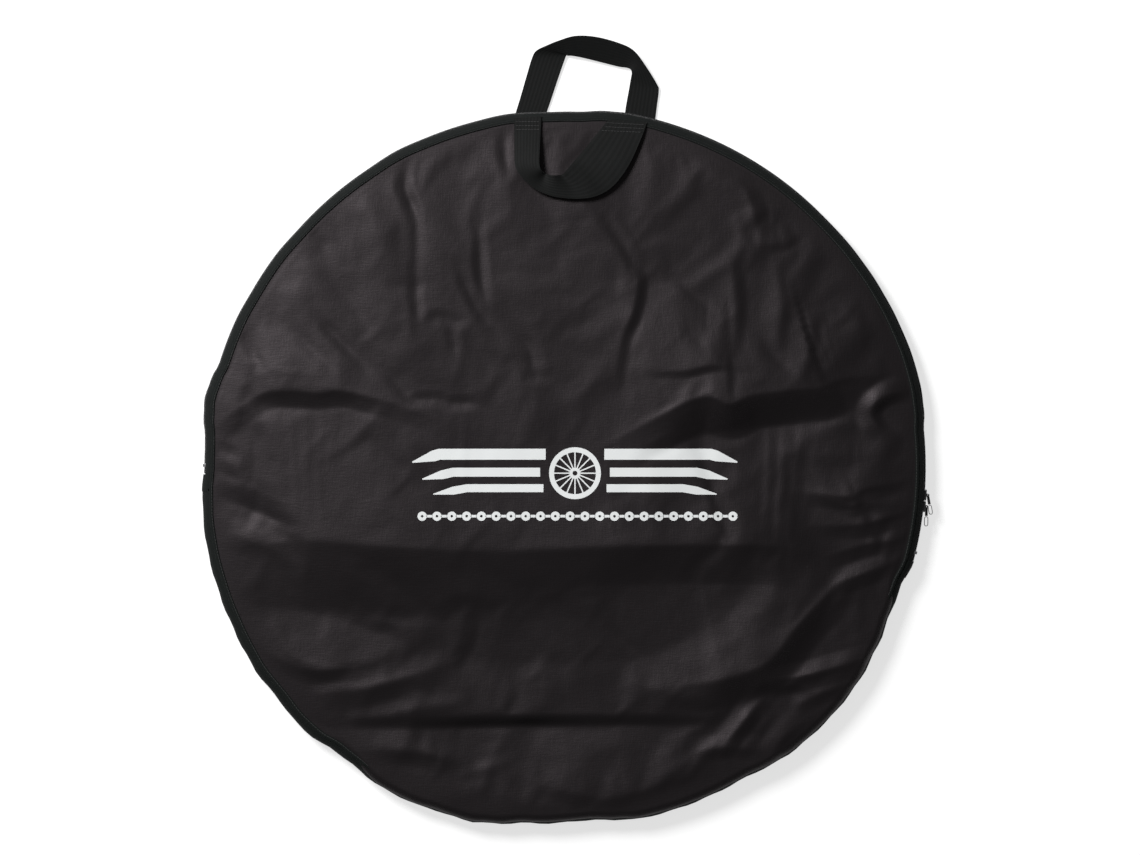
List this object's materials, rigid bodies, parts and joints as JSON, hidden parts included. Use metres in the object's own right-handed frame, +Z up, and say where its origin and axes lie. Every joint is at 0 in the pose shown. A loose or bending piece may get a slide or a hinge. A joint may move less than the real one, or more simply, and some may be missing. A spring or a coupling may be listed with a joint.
{
  "type": "bike wheel bag",
  "caption": "Round flat fabric bag for one bicycle wheel, with a two-way zip round the rim and a webbing handle on each panel, lying empty and closed.",
  "frame": {"origin": "middle of the back panel's flat underside, on the surface that the bag lies on", "axes": "+Z up, out of the front panel; +Y towards the handles; +X to the right, towards the zip sliders"},
  "size_m": [0.7354, 0.7923, 0.0286],
  "materials": {
    "shell_fabric": "soft coated nylon, near black, faint sheen",
    "binding_tape": "ribbed binding tape, matt",
    "zip_tape": "woven zip tape, matt",
    "zip_coil": "moulded coil, satin",
    "webbing": "flat woven webbing, matt",
    "slider_metal": "black enamel",
    "pull_metal": "bright plated wire"
  },
  "bodies": {
    "shell": {"back_panel": "shell_fabric", "front_panel_lower": "shell_fabric", "side_strip": "shell_fabric", "back_binding": "binding_tape", "front_binding_lower": "binding_tape", "zip_end_tab_left": "binding_tape", "zip_end_tab_right": "binding_tape", "zip_tape_back": "zip_tape", "zip_tape_front_right": "zip_tape", "zip_tape_front_left": "zip_tape", "zip_coil_back": "zip_coil", "zip_coil_front_right": "zip_coil", "zip_coil_front_left": "zip_coil", "zip_stop_left": "pull_metal", "zip_stop_right": "pull_metal"},
    "flap": {"front_panel_upper": "shell_fabric", "front_binding_upper": "binding_tape", "zip_tape_front_flap": "zip_tape", "zip_coil_front_flap": "zip_coil"},
    "front_handle": {"front_handle": "webbing"},
    "back_handle": {"back_handle": "webbing"},
    "slider_upper": {"slider_upper_body": "slider_metal", "slider_upper_pin": "pull_metal"},
    "slider_lower": {"slider_lower_body": "slider_metal", "slider_lower_pin": "pull_metal"},
    "pull_upper": {"pull_upper_shank": "slider_metal", "pull_upper_loop": "pull_metal"},
    "pull_lower": {"pull_lower_shank": "slider_metal", "pull_lower_loop": "pull_metal"}
  },
  "joints": [
    {"name": "flap_hinge", "type": "hinge", "parent": "shell", "child": "flap", "pos_m": [0, 0.06, 0.02875], "axis": [1, 0, 0], "range_deg": [0, 160]},
    {"name": "front_handle_hinge", "type": "hinge", "parent": "flap", "child": "front_handle", "pos_m": [0.01486, 0.35445, 0.0259], "axis": [-0.9991, 0.0419, 0], "range_deg": [0, 180]},
    {"name": "back_handle_hinge", "type": "hinge", "parent": "shell", "child": "back_handle", "pos_m": [0.02038, 0.35349, 0.00015], "axis": [0.9983, -0.0576, 0], "range_deg": [-175, 8]},
    {"name": "slider_upper_travel", "type": "hinge", "parent": "shell", "child": "slider_upper", "pos_m": [0, 0, 0.013], "axis": [0, 0, 1], "range_deg": [0, 182]},
    {"name": "slider_lower_travel", "type": "hinge", "parent": "shell", "child": "slider_lower", "pos_m": [0, 0, 0.013], "axis": [0, 0, 1], "range_deg": [-6, 0]},
    {"name": "pull_upper_swing", "type": "hinge", "parent": "slider_upper", "child": "pull_upper", "pos_m": [0.36562, -0.02749, 0.013], "axis": [0, 0, 1], "range_deg": [0, 160]},
    {"name": "pull_lower_swing", "type": "hinge", "parent": "slider_lower", "child": "pull_lower", "pos_m": [0.36455, -0.03918, 0.013], "axis": [0, 0, 1], "range_deg": [0, 155]}
  ]
}
